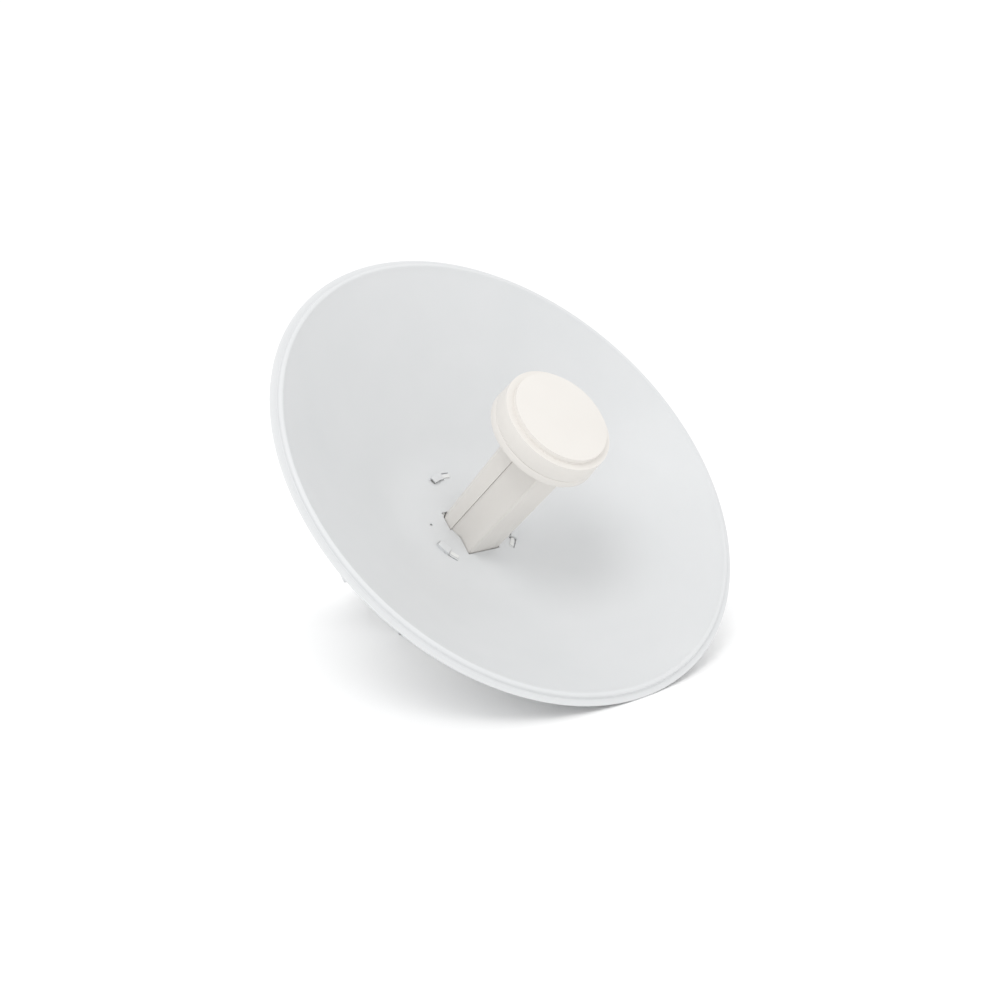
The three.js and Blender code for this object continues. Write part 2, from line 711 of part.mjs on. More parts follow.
function makeHeadBase() {
  const seamRear = seamW - GAP / 2;
  const wall = head.wall;
  const cup = turned(
    [
      [0, headRear],
      [head.radius - head.edge, headRear],
      [head.radius, headRear + head.edge],
      [seamRadius, seamRear],
      [seamRadius - wall, seamRear],
      [seamRadius - wall, headRear + wall],
      [0, headRear + wall],
    ],
    headSides,
  );
  const [inside, seat, ledge] = [sealRadius - seal.groove, sealRadius - 0.4, sealRadius + seal.section];
  const rim = turned(
    [
      [inside, headRear + 1],
      [ledge, headRear + 1],
      [ledge, seamW - 2],
      [seat, seamW - 2],
      [seat, seamW + 2],
      [inside, seamW + 2],
      [inside, headRear + 1],
    ],
    headSides,
  );
  const { halfWidth, low, high } = headWindow;
  return cut(joined(cup, rim), block(-halfWidth, halfWidth, low, high, headRear - 1, headRear + wall + 1));
}

piece('feed_head_base', makeHeadBase(), feedPlastic);

function makeFeedCap() {
  const seamFront = seamW + GAP / 2;
  const wall = head.wall;
  const discEdge = 0.6;
  return turned(
    [
      [0, headFront],
      [discRadius - discEdge, headFront],
      [discRadius, headFront - discEdge],
      [discRadius, lipW],
      [lipRadius - head.edge, lipW],
      [lipRadius, lipW - head.edge],
      [seamRadius, seamFront],
      [seamRadius - wall, seamFront],
      [lipRadius - wall, lipW - wall],
      [discRadius - wall, lipW - wall],
      [discRadius - wall, headFront - wall],
      [0, headFront - wall],
    ],
    headSides,
  );
}

piece('feed_cap', makeFeedCap(), feedPlastic);

const sealW = seamW + 0.6;
const [sealInner, sealOuter] = [sealRadius - 0.1, sealRadius + 1.2];
piece(
  'head_seal',
  turned(
    [
      [sealInner, sealW - seal.section],
      [sealOuter, sealW - seal.section],
      [sealOuter, sealW + seal.section],
      [sealInner, sealW + seal.section],
      [sealInner, sealW - seal.section],
    ],
    36,
  ),
  rubber,
);

const reflectorFlat = reflectorRadius - reflectorDisc.rimWidth;
const reflectorRimW = reflectorW - reflectorDisc.rimDrop;
piece(
  'sub_reflector',
  turned(
    [
      [0, reflectorW],
      [reflectorFlat, reflectorW],
      [reflectorRadius, reflectorRimW],
      [reflectorRadius, reflectorRimW + reflectorDisc.thickness],
      [reflectorFlat, reflectorW + reflectorDisc.thickness],
      [0, reflectorW + reflectorDisc.thickness],
    ],
    36,
  ),
  aluminium,
);

piece(
  'radiator',
  barW(0, 0, boardFront + GAP, boardFront + GAP + radiator.thickness, radiator.radius, 32),
  circuitBoard,
);

// ---------------------------------------------------------------- dish bracket and its fasteners

/** The holes for the four bolts that hold the bracket and the cover to the housing. */
const bracketHoles = (radius) =>
  [-bossX, bossX].flatMap((x) => [-bossU, bossU].map((u) => barW(x, u, plateRear - 1, plateFront + 1, radius, 20)));

function makeDishBracket() {
  const reach = ear.plateHalfHeight;
  const plate = block(-earOuter, earOuter, -reach, reach, plateRear, plateFront);
  const side = [
    [plateFront, -reach],
    [plateFront, reach],
    [plateRear - ear.shoulder, reach],
    [earRear, ear.topRear],
    [earRear, ear.foot],
    [plateRear - ear.shoulder, -reach],
  ];
  const lockSlot = arcBand(
    pivotW,
    pivot.u,
    slot.radius - slot.hole,
    slot.radius + slot.hole,
    -90 - slot.swing - slot.spare,
    -90 + slot.swing + slot.spare,
  );
  const ears = [
    [-earOuter, -earInner],
    [earInner, earOuter],
  ].map(([x0, x1]) =>
    cut(alongX(side, x0, x1), barX(x0 - 1, x1 + 1, pivot.u, pivotW, pivot.hole, 24), alongX(lockSlot, x0 - 1, x1 + 1)),
  );
  const ground = barW(0, groundU, plateRear - 1, plateFront + 1, groundScrew.radius + GAP, 16);
  const { halfWidth, low, high, corner } = lightening;
  const opening = alongW(roundedRectangle(-halfWidth, halfWidth, low, high, corner), plateRear - 1, plateFront + 1);
  return cut(joined(plate, ...ears), ...bracketHoles(boss.hole), ground, opening);
}

piece('dish_bracket', makeDishBracket(), powderCoat);

let boltNumber = 0;
for (const x of [-bossX, bossX]) {
  for (const u of [-bossU, bossU]) {
    boltNumber += 1;
    const seat = plateRear - GAP;
    const bolt = joined(
      barW(x, u, seat - washer.thickness, seat, boss.headRadius + washer.overhang, 24),
      barW(x, u, seat - boss.headHeight, seat - 1, boss.headRadius, 6),
      barW(x, u, seat - 1, housingRear + boss.length - 2, boss.bolt, 16),
    );
    piece(`bracket_bolt_${boltNumber}`, bolt, zincSteel);
  }
}

piece(
  'ground_screw',
  joined(
    barW(0, groundU, plateRear - GAP - groundScrew.headHeight, plateRear - GAP, groundScrew.headRadius, 20),
    barW(0, groundU, plateRear - 1, plateFront - 0.1, groundScrew.radius, 16),
  ),
  zincSteel,
);

// ---------------------------------------------------------------- pole mount, which tilts on the pivot

/** The two flanges of a channel, each with a notch that bites the pole. */
function notchedFlanges(face, notch, outerCorner) {
  const edge = cradle.notchHalf;
  const points = mirrored([
    [cheekOuter, face],
    [cheekOuter, outerCorner],
    [edge + cradle.mouthLand, notch.mouth],
    [edge, notch.mouth],
    [0, notch.apex],
  ]).filter(([x], i, all) => !(x === 0 && i > 0 && all[i - 1][0] === 0));
  return [alongU(points, cradleLow, cradleLow + sheet), alongU(points, cradleHigh - sheet, cradleHigh)];
}

function makePoleBracket() {
  const back = block(-cheekOuter, cheekOuter, cradleLow, cradleHigh, cradleFace - sheet, cradleFace);
  const mouth = apex - notchDepth;
  const flanges = notchedFlanges(cradleFace - 0.5, { mouth, apex }, cradleFace - sheet - cradle.corner);
  const land = 9; // metal around the lock bolt's hole
  const cheek = [
    [pivotW + land + 3, pivot.u + land + 1],
    [pivotW + land - 1, cradleHigh],
    [cradleFace - sheet, cradleHigh],
    [cradleFace - sheet, cradleLow],
    [pivotW - land - 1, lockU - land],
    [pivotW + land, lockU - land],
  ];
  const cheeks = [
    [-cheekOuter, -cheekInner],
    [cheekInner, cheekOuter],
  ].map(([x0, x1]) =>
    cut(
      alongX(cheek, x0, x1),
      barX(x0 - 1, x1 + 1, pivot.u, pivotW, pivot.boltRadius + GAP, 24),
      barX(x0 - 1, x1 + 1, lockU, pivotW, slot.boltRadius + GAP, 20),
    ),
  );
  const boltHoles = [-clampX, clampX].map((x) =>
    barW(x, cradle.u, cradleFace - sheet - 1, cradleFace + 1, clampBolt.radius + GAP, 20),
  );
  return cut(joined(back, ...flanges, ...cheeks), ...boltHoles);
}

piece('pole_bracket', makePoleBracket(), powderCoat);

/** A bolt through one ear and one cheek, with its head outside and its nut inside. */
function sideBolt(name, side, u, radius, headRadius, headHeight) {
  const headSeat = earOuter + GAP;
  const tip = cheekInner - GAP - headHeight - 2.5;
  const [s0, s1] = [side * tip, side * (headSeat + 1)].sort((a, b) => a - b);
  const [h0, h1] = [side * headSeat, side * (headSeat + headHeight)].sort((a, b) => a - b);
  const [f0, f1] = [side * headSeat, side * (headSeat + washer.thickness)].sort((a, b) => a - b);
  piece(
    `${name}_bolt`,
    joined(
      barX(s0, s1, u, pivotW, radius, 20),
      barX(h0, h1, u, pivotW, headRadius, 6),
      barX(f0, f1, u, pivotW, headRadius + washer.overhang, 24),
    ),
    zincSteel,
  );
  const nutSeat = cheekInner - GAP;
  const [n0, n1] = [side * (nutSeat - headHeight), side * nutSeat].sort((a, b) => a - b);
  piece(
    `${name}_nut`,
    cut(barX(n0, n1, u, pivotW, headRadius, 6), barX(n0 - 1, n1 + 1, u, pivotW, radius + GAP, 20)),
    zincSteel,
  );
}

for (const [hand, side] of [
  ['left', -1],
  ['right', 1],
]) {
  sideBolt(`pivot_${hand}`, side, pivot.u, pivot.boltRadius, pivot.nutRadius, pivot.nutHeight);
  sideBolt(`lock_${hand}`, side, lockU, slot.boltRadius, slot.nutRadius, slot.nutHeight);
}

// ---------------------------------------------------------------- clamp jaw, which slides on the nuts

function makeJaw() {
  const back = block(-cheekOuter, cheekOuter, cradleLow, cradleHigh, jawFace - sheet, jawFace);
  const mouth = jawApex + notchDepth;
  const flanges = notchedFlanges(jawFace - 0.5, { mouth, apex: jawApex }, jawFace + cradle.corner);
  const boltHoles = [-clampX, clampX].map((x) =>
    barW(x, cradle.u, jawFace - sheet - 1, jawFace + 1, clampBolt.radius + GAP, 20),
  );
  return cut(joined(back, ...flanges), ...boltHoles);
}

piece('clamp_jaw', makeJaw(), powderCoat);

[-1, 1].forEach((side, i) => {
  const x = side * clampX;
  const seat = jawFace - sheet - GAP;
  const tip = cradleFace + GAP + clampNut.height + jawTravel + clampBolt.spare;
  const bolt = joined(
    barW(x, cradle.u, seat - clampBolt.headHeight, seat, clampBolt.headRadius, 24),
    barW(x, cradle.u, seat - 1, tip, clampBolt.radius, 20),
  );
  piece(`clamp_bolt_${i + 1}`, bolt, zincSteel);
  const nutSeat = cradleFace + GAP;
  const nut = joined(
    barW(x, cradle.u, nutSeat, nutSeat + clampNut.flange, clampNut.flangeRadius, 24),
    barW(x, cradle.u, nutSeat + 1, nutSeat + clampNut.height, clampNut.radius, 6),
  );
  const bore = barW(x, cradle.u, nutSeat - 1, nutSeat + clampNut.height + 1, clampBolt.radius + GAP, 20);
  piece(`clamp_nut_${i + 1}`, cut(nut, bore), zincSteel);
});

// ---------------------------------------------------------------- stand the unit on its rim and feet

unit.rotation.x = -lean;
unit.updateMatrixWorld(true);
const bounds = new THREE.Box3().setFromObject(unit, true);
const middle = bounds.getCenter(new THREE.Vector3());
unit.position.set(-middle.x, -middle.y, -bounds.min.z);

const bridge = new THREE.Group();
bridge.add(unit);

export default bridge;
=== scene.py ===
# %% [markdown]
# # Outdoor wireless bridge
#
# A dish antenna for a radio link: a pressed aluminium dish, a plastic feed that pushes in through its
# middle, a plastic housing that locks to its back, and a steel mount that clamps to a pole. The packed
# design gives every place and size as a frame. This script builds the fine surface around that frame.

# %% Load the frame
import json
import math

import bpy
import numpy as np
from mathutils import Matrix, Vector


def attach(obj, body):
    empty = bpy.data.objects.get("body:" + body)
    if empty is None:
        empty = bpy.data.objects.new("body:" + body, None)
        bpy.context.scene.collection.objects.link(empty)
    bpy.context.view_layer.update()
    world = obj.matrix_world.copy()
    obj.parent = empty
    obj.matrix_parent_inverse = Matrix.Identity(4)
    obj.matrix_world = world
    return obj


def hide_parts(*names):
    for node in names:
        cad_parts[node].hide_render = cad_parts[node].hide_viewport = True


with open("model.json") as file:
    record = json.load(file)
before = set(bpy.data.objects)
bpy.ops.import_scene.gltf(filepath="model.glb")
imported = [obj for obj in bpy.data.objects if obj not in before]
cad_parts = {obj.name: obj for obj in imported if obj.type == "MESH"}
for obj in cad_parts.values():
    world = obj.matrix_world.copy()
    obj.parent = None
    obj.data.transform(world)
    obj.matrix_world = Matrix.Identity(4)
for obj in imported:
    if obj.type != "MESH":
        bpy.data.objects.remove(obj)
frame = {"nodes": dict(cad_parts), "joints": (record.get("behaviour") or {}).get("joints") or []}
bpy.context.view_layer.update()
MM = 0.001

# %% [markdown]
# The dish leans back, so its own axes are turned against the floor. X runs across the dish, U up
# across it and W forward along its axis, with zero in the plane of the rim. The slide of the feed runs
# along W, and the outermost points of the dish give the middle and the plane of the rim. Every new
# piece is drawn in these axes and turned into place at the end.

# %% Axes of the dish
joints = {joint["name"]: joint for joint in frame["joints"]}
X = Vector((1, 0, 0))
W = Vector(joints["feed_slide"]["axis"]).normalized()
U = W.cross(X)
TURN = np.array((X, U, W))


def turned_points(node):
    """A CAD node's corners along X, U and W."""
    return np.array([corner.co for corner in frame["nodes"][node].data.vertices]) @ TURN.T


points = turned_points("dish_reflector")
middle = (points.min(0) + points.max(0)) / 2
reach = np.hypot(points[:, 0] - middle[0], points[:, 1] - middle[1])
rim_radius = reach.max() / MM
rim_plane = points[reach > reach.max() - MM, 2].max()
ORIGIN = X * middle[0] + U * middle[1] + W * rim_plane
UNIT = Matrix.Translation(ORIGIN) @ Matrix((X, U, W)).transposed().to_4x4()


def extent(node):
    """Lowest and highest corner of a CAD node along X, U and W, in mm from the middle of the rim."""
    shifted = (turned_points(node) - np.array((middle[0], middle[1], rim_plane))) / MM
    return Vector(shifted.min(0)), Vector(shifted.max(0))


SHEET = 1.5  # mm, the dish's aluminium
flat_w = extent("dish_reflector")[0].z + SHEET
print("rim radius", round(rim_radius, 2), "depth", round(-flat_w, 2))

# %% [markdown]
# ## Camera
#
# The camera stands to the left of the dish and a little above it, and looks slightly down. Its place
# is measured from the middle of the rim, so it follows the dish.

# %% Camera
bpy.ops.object.select_all(action="DESELECT")
bpy.ops.object.camera_add(
    location=ORIGIN + Vector((-0.6691, -0.7265, 0.1896)),
    rotation=(math.radians(90 - 12.53), 0, math.radians(-41.77)),
)
camera = bpy.context.object
camera.name = "camera"
camera.data.lens = 45.3
bpy.context.scene.camera = camera

# %% [markdown]
# ## Floor and light
#
# The set is a plain white sweep in soft light. A white surrounding sky lights the dish from all sides,
# one large panel on the upper left models its shape, and the wide floor takes a soft shadow.

# %% Floor and light
scene = bpy.context.scene
scene.view_settings.view_transform = "Standard"


def linear(code):
    """An sRGB hex colour such as "#F3F0EC" as linear red, green, blue and alpha."""
    channels = [int(code[i : i + 2], 16) / 255 for i in (1, 3, 5)]
    return (*[c / 12.92 if c <= 0.04045 else ((c + 0.055) / 1.055) ** 2.4 for c in channels], 1)


def add_node(tree, kind, sockets=None, **settings):
    """Adds a node and sets it up. A socket takes a value, or another node's output as its link."""
    made = tree.nodes.new(kind)
    for name, value in settings.items():
        setattr(made, name, value)
    for socket, value in (sockets or {}).items():
        if isinstance(value, bpy.types.NodeSocket):
            tree.links.new(value, made.inputs[socket])
        else:
            made.inputs[socket].default_value = value
    return made


scene.world = bpy.data.worlds.new("studio")
scene.world.use_nodes = True
sky = scene.world.node_tree.nodes["Background"]
sky.inputs["Color"].default_value = linear("#FFFFFF")
sky.inputs["Strength"].default_value = 1.05

bpy.ops.mesh.primitive_plane_add(size=30, location=(0, 0, 0))
floor = bpy.context.object
floor.name = "floor"
floor_paint = bpy.data.materials.new("floor_paint")
floor_paint.use_nodes = True
floor_shader = floor_paint.node_tree.nodes["Principled BSDF"]
floor_shader.inputs["Base Color"].default_value = linear("#FFFFFF")
floor_shader.inputs["Roughness"].default_value = 0.9
floor_shader.inputs["Specular IOR Level"].default_value = 0.1
floor.data.materials.append(floor_paint)


def add_panel(name, offset, size, power):
    """A square light panel that faces the middle of the rim, placed by an offset from it in metres."""
    place = ORIGIN + Vector(offset)
    facing = (ORIGIN - place).to_track_quat("-Z", "Y").to_euler()
    bpy.ops.object.light_add(type="AREA", location=place, rotation=facing)
    panel = bpy.context.object
    panel.name = name
    panel.data.shape = "DISK"
    panel.data.size = size
    panel.data.energy = power


add_panel("key_panel", (-1.4, -0.9, 2.2), 1.2, 16)

# %% [markdown]
# ## Finishes
#
# Each finish is named for the real material. Patterns read Object coordinates, which are metres here,
# so a pattern's scale is one over its real size in metres.

# %% Finish helpers


def new_finish(name, colour, roughness, **shader_values):
    """A material with its Principled shader set up; returns the material, its tree and the shader."""
    finish = bpy.data.materials.new(name)
    finish.use_nodes = True
    tree = finish.node_tree
    shader = tree.nodes["Principled BSDF"]
    shader.inputs["Base Color"].default_value = linear(colour)
    shader.inputs["Roughness"].default_value = roughness
    for socket, value in shader_values.items():
        shader.inputs[socket.replace("_", " ")].default_value = value
    return finish, tree, shader


def grain(tree, size_mm, detail=2.0):
    """Noise whose bumps are the given size."""
    place = add_node(tree, "ShaderNodeTexCoord").outputs["Object"]
    scale = 1 / (size_mm * MM)
    noise = add_node(tree, "ShaderNodeTexNoise", {"Vector": place, "Scale": scale, "Detail": detail})
    return noise.outputs["Fac"]


def add_bump(tree, shader, height, depth_mm):
    """Raises the surface by a height pattern, as deep as its real relief."""
    bump = add_node(tree, "ShaderNodeBump", {"Height": height, "Distance": depth_mm * MM})
    tree.links.new(bump.outputs["Normal"], shader.inputs["Normal"])


def vary_colour(tree, shader, pattern, dark, light):
    """Base colour that drifts between two close tones."""
    mix = add_node(
        tree, "ShaderNodeMix", {"Factor": pattern, "A": linear(dark), "B": linear(light)}, data_type="RGBA"
    )
    tree.links.new(mix.outputs["Result"], shader.inputs["Base Color"])


def vary_roughness(tree, shader, pattern, low, high):
    """Roughness that drifts between two values."""
    spread = add_node(tree, "ShaderNodeMapRange", {"Value": pattern, "To Min": low, "To Max": high})
    tree.links.new(spread.outputs["Result"], shader.inputs["Roughness"])


# %% [markdown]
# Polyester powder coat is sprayed as dry powder and baked. It keeps a faint orange peel with bumps
# about 1.5 mm wide, and looks satin. The dish is a cool white, the brackets a shade greyer.

# %% Powder coat


def powder_coat(name, dark, light):
    """Baked powder coat with orange peel."""
    finish, tree, shader = new_finish(name, light, 0.42, IOR=1.5)
    vary_colour(tree, shader, grain(tree, 60), dark, light)
    vary_roughness(tree, shader, grain(tree, 25), 0.38, 0.5)
    add_bump(tree, shader, grain(tree, 1.5), 0.012)
    return finish


dish_coat = powder_coat("powder_coated_aluminium", "#D2D4D5", "#D8D9DA")
bracket_coat = powder_coat("powder_coated_steel", "#D6D8DA", "#DCDEDF")

# %% [markdown]
# The feed and the housing are moulded ASA, a plastic that stands the sun. The mould is spark eroded,
# which leaves a fine matt grain of about 0.3 mm, drawn at 0.5 mm so that it shows. The feed is a warm
# white and lets a little light in, the housing is a cooler white with a coarser grain.

# %% Moulded plastics


def moulded_plastic(name, dark, light, grain_mm, roughness):
    """Moulded plastic with a spark-eroded grain."""
    finish, tree, shader = new_finish(name, light, roughness, IOR=1.52)
    vary_colour(tree, shader, grain(tree, 40), dark, light)
    vary_roughness(tree, shader, grain(tree, 8), roughness - 0.04, roughness + 0.05)
    add_bump(tree, shader, grain(tree, grain_mm), 0.01)
    return finish


feed_asa = moulded_plastic("moulded_asa_warm_white", "#DDD9D4", "#E2DFDA", 0.5, 0.4)
housing_asa = moulded_plastic("moulded_asa_cool_white", "#DFE0DF", "#E4E4E2", 0.7, 0.55)
grey_acetal = moulded_plastic("moulded_acetal_grey", "#A9ADB0", "#B0B4B7", 0.5, 0.5)

# %% [markdown]
# The lamp window is clear polycarbonate over a milky diffuser. The seal is silicone cord, dark and
# dull.

# %% Window and seal
window_pc, tree, shader = new_finish("polycarbonate", "#DDE6EA", 0.12, IOR=1.58, Coat_Weight=0.4)
vary_roughness(tree, shader, grain(tree, 3), 0.08, 0.2)
silicone, tree, shader = new_finish("silicone_cord", "#2C2C2E", 0.75)
add_bump(tree, shader, grain(tree, 0.4), 0.01)

# %% [markdown]
# Fasteners are zinc-plated steel: bright, slightly blue, with a cloudy bloom a few millimetres wide.
# The spreader and the sub-reflector are plain rolled aluminium with fine lines along one way, about
# 0.4 mm apart. The cans and the jack are tin-plated, smoother and a little yellow.

# %% Metals


def bright_metal(name, dark, light, bloom_mm, rough):
    """A plated metal with a cloudy bloom."""
    finish, tree, shader = new_finish(name, light, rough, Metallic=1.0)
    cloud = grain(tree, bloom_mm, 4.0)
    vary_colour(tree, shader, cloud, dark, light)
    vary_roughness(tree, shader, cloud, rough - 0.08, rough + 0.12)
    add_bump(tree, shader, grain(tree, 0.5), 0.004)
    return finish


zinc = bright_metal("zinc_plated_steel", "#B4B7BC", "#D2D5D8", 5, 0.3)
tin = bright_metal("tin_plated_steel", "#C6C6C2", "#DADAD6", 9, 0.26)

rolled, tree, shader = new_finish("rolled_aluminium", "#D4D6D8", 0.34, Metallic=1.0)
place = add_node(tree, "ShaderNodeTexCoord").outputs["Object"]
stretch = add_node(tree, "ShaderNodeMapping", {"Vector": place, "Scale": (2500, 60, 60)})
stretched = {"Vector": stretch.outputs["Vector"], "Scale": 1.0, "Detail": 3.0}
lines = add_node(tree, "ShaderNodeTexNoise", stretched)
vary_roughness(tree, shader, lines.outputs["Fac"], 0.26, 0.46)
add_bump(tree, shader, lines.outputs["Fac"], 0.006)

# %% [markdown]
# The boards are glass-epoxy laminate under green solder mask. Copper tracks under the mask show as
# lighter strips, drawn here as a pattern of narrow cells about 3 mm apart.

# %% Circuit board
circuit, tree, shader = new_finish("solder_mask_on_laminate", "#1F5F3F", 0.35, Coat_Weight=0.3)
place = add_node(tree, "ShaderNodeTexCoord").outputs["Object"]
tracks = {"Vector": place, "Scale": 1 / (3 * MM)}
cells = add_node(tree, "ShaderNodeTexVoronoi", tracks, distance="MANHATTAN", feature="F1")
vary_colour(tree, shader, cells.outputs["Distance"], "#1B5536", "#2F7A52")
add_bump(tree, shader, cells.outputs["Distance"], 0.03)

# %% [markdown]
# ## Modelling helpers
#
# Operators act on what is selected, so each helper first picks its own piece. A turned piece starts as
# a circle that is drawn up ring by ring, as on a lathe. A block starts as a cube. An arc block is a
# rectangle spun part of the way round. Cuts and joins are boolean modifiers, and small bevels soften
# the edges.

# %% Modelling helpers


def pick(*chosen):
    """Selects only these objects; the last one is active."""
    bpy.ops.object.select_all(action="DESELECT")
    for item in chosen:
        item.select_set(True)
    bpy.context.view_layer.objects.active = chosen[-1]


def apply_place(piece):
    """Puts the object's place into its mesh."""
    pick(piece)
    bpy.ops.object.transform_apply(location=True, rotation=True, scale=True)


def face_outwards(piece):
    """Merges doubles and turns every face out."""
    pick(piece)
    bpy.ops.object.mode_set(mode="EDIT")
    bpy.ops.mesh.select_all(action="SELECT")
    bpy.ops.mesh.remove_doubles(threshold=0.002 * MM)
    bpy.ops.mesh.normals_make_consistent(inside=False)
    bpy.ops.object.mode_set(mode="OBJECT")


def turned(name, profile, sides, capped=True):
    """A body turned about Z along [radius, height] points in mm, with flat ends if it is capped."""
    radius, height = profile[0]
    bpy.ops.object.select_all(action="DESELECT")
    bpy.ops.mesh.primitive_circle_add(vertices=sides, radius=radius * MM, location=(0, 0, height * MM))
    piece = bpy.context.object
    piece.name = name
    apply_place(piece)
    bpy.ops.object.mode_set(mode="EDIT")
    bpy.ops.mesh.select_mode(type="VERT")
    bpy.ops.mesh.select_all(action="SELECT")
    for (from_radius, from_height), (to_radius, to_height) in zip(profile, profile[1:]):
        rise = (0, 0, (to_height - from_height) * MM)
        bpy.ops.mesh.extrude_region_move(TRANSFORM_OT_translate={"value": rise})
        growth = to_radius / from_radius
        bpy.ops.transform.resize(value=(growth, growth, 1), center_override=(0, 0, to_height * MM))
    if capped:
        bpy.ops.mesh.select_all(action="SELECT")
        bpy.ops.mesh.fill_holes(sides=0)
    bpy.ops.object.mode_set(mode="OBJECT")
    face_outwards(piece)
    return piece


def block(name, low, high):
    """A block between two corners in mm."""
    low, high = Vector(low), Vector(high)
    bpy.ops.object.select_all(action="DESELECT")
    bpy.ops.mesh.primitive_cube_add(size=1, location=(low + high) / 2 * MM)
    piece = bpy.context.object
    piece.name = name
    piece.scale = (high - low) * MM
    apply_place(piece)
    return piece


def arc_block(name, inner, outer, low, high, start, sweep):
    """A rectangle between two radii and two heights in mm, spun about Z from one angle in degrees."""
    bpy.ops.object.select_all(action="DESELECT")
    bpy.ops.mesh.primitive_plane_add(
        size=1,
        location=((inner + outer) / 2 * MM, 0, (low + high) / 2 * MM),
        rotation=(math.pi / 2, 0, 0),
    )
    piece = bpy.context.object
    piece.name = name
    piece.scale = ((outer - inner) * MM, (high - low) * MM, 1)
    apply_place(piece)
    bpy.ops.object.mode_set(mode="EDIT")
    bpy.ops.mesh.select_all(action="SELECT")
    steps = max(4, round(abs(sweep) / 1.5))
    bpy.ops.mesh.spin(steps=steps, angle=math.radians(sweep), center=(0, 0, 0), axis=(0, 0, 1))
    bpy.ops.object.mode_set(mode="OBJECT")
    piece.rotation_euler = (0, 0, math.radians(start))
    apply_place(piece)
    face_outwards(piece)
    return piece


def join(*parts):
    """Several meshes made one."""
    pick(*parts)
    bpy.ops.object.join()
    return parts[-1]


def combine(piece, tool, operation):
    """Cuts a tool out of a piece, or adds or intersects it; the tool is used up."""
    pick(piece)
    change = piece.modifiers.new("cut", "BOOLEAN")
    change.operation = operation
    change.object = tool
    change.solver = "MANIFOLD"
    bpy.ops.object.modifier_apply(modifier=change.name)
    bpy.data.objects.remove(tool)
    return piece


def soften(piece, width, segments=2, angle=30, hold=40):
    """Rounds the sharp edges by a width in mm and shades the rest smooth."""
    pick(piece)
    edge = piece.modifiers.new("edge", "BEVEL")
    edge.width = width * MM
    edge.segments = segments
    edge.limit_method = "ANGLE"
    edge.angle_limit = math.radians(angle)
    bpy.ops.object.modifier_apply(modifier=edge.name)
    bpy.ops.object.shade_smooth_by_angle(angle=math.radians(hold))
    return piece


def finish_piece(piece, name, finish, body, nodes, place=UNIT):
    """Turns a piece into place, gives it its finish, and hangs it on its body."""
    piece.name = name
    piece.data.name = name
    piece.matrix_world = place @ piece.matrix_world
    apply_place(piece)
    piece.data.materials.clear()
    piece.data.materials.append(finish)
    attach(piece, body)
    if nodes:
        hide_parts(*nodes)
    return piece


# %% [markdown]
# ## Dish
#
# The dish is one pressed sheet, 1.5 mm thick. Its bottom is flat where the housing locks on, then the
# sheet rises smoothly into the bowl, rolls over a small bead and ends in a flat rim. The bottom is a
# plate of its own at first. One section starts at its edge and goes along the front, round the rim and
# back along the rear face, and the two are joined once the openings are cut.

# %% Dish section
BEAD_RADIUS = 2.2  # mm, outside of the bead
CREST = 3.7  # mm, the bead's top above the rim plane
FILLET = 1.0  # mm, between the bead's wall and the flat rim
FLANGE = 5.4  # mm, flat rim
FLAT_END = 48.0  # mm, where the flat bottom starts to rise
BLEND_END = 84.0  # mm, where the bowl has its full slope
BOWL_STEPS = 40


def arc(centre, radius, start, stop, steps):
    """Points on an arc, with angles in degrees."""
    angles = np.radians(np.linspace(start, stop, steps))
    return [(centre[0] + radius * math.cos(a), centre[1] + radius * math.sin(a)) for a in angles]


bead_centre = (rim_radius - FLANGE - BEAD_RADIUS, CREST - BEAD_RADIUS)
meet = 150  # degrees, where the bowl meets the bead
bowl_end = arc(bead_centre, BEAD_RADIUS, meet, meet, 1)[0]
radii = np.linspace(FLAT_END, bowl_end[0], BOWL_STEPS)
share = np.clip((radii - FLAT_END) / (BLEND_END - FLAT_END), 0, 1)
slope = share**2 * (3 - 2 * share) * radii
heights = np.concatenate(([0], np.cumsum((slope[1:] + slope[:-1]) / 2 * np.diff(radii))))
lift = (bowl_end[1] - flat_w) / heights[-1]
slope = slope * lift
heights = flat_w + heights * lift
bowl_front = list(zip(radii, heights))
bowl_back = [
    (r + SHEET * s / math.hypot(1, s), h - SHEET / math.hypot(1, s))
    for r, h, s in zip(radii, heights, slope)
]
fillet_centre = (bead_centre[0] + BEAD_RADIUS + FILLET, FILLET)
edge_centre = (rim_radius - SHEET / 2, -SHEET / 2)
rim_front = (
    arc(bead_centre, BEAD_RADIUS, meet, 0, 11)[1:]
    + arc(fillet_centre, FILLET, 180, 270, 5)
    + arc(edge_centre, SHEET / 2, 90, -90, 7)
)
rim_back = (
    arc(fillet_centre, FILLET + SHEET, 270, 180, 6)
    + arc(bead_centre, BEAD_RADIUS - SHEET, 0, meet, 6)
)
DISH_SIDES = 192
bowl = turned("bowl", bowl_front + rim_front + rim_back + bowl_back[::-1], DISH_SIDES, capped=False)
bottom = turned("bottom", [(FLAT_END, flat_w), (FLAT_END, flat_w - SHEET)], DISH_SIDES)

# %% [markdown]
# Three tabs hold the housing. Each is a hood pressed forward out of the flat bottom and open towards
# the stem, then a short radial cut, then a thin curved slit. The stem's own opening follows the stem:
# straight sides above, a narrow foot below and a sloping waist between.

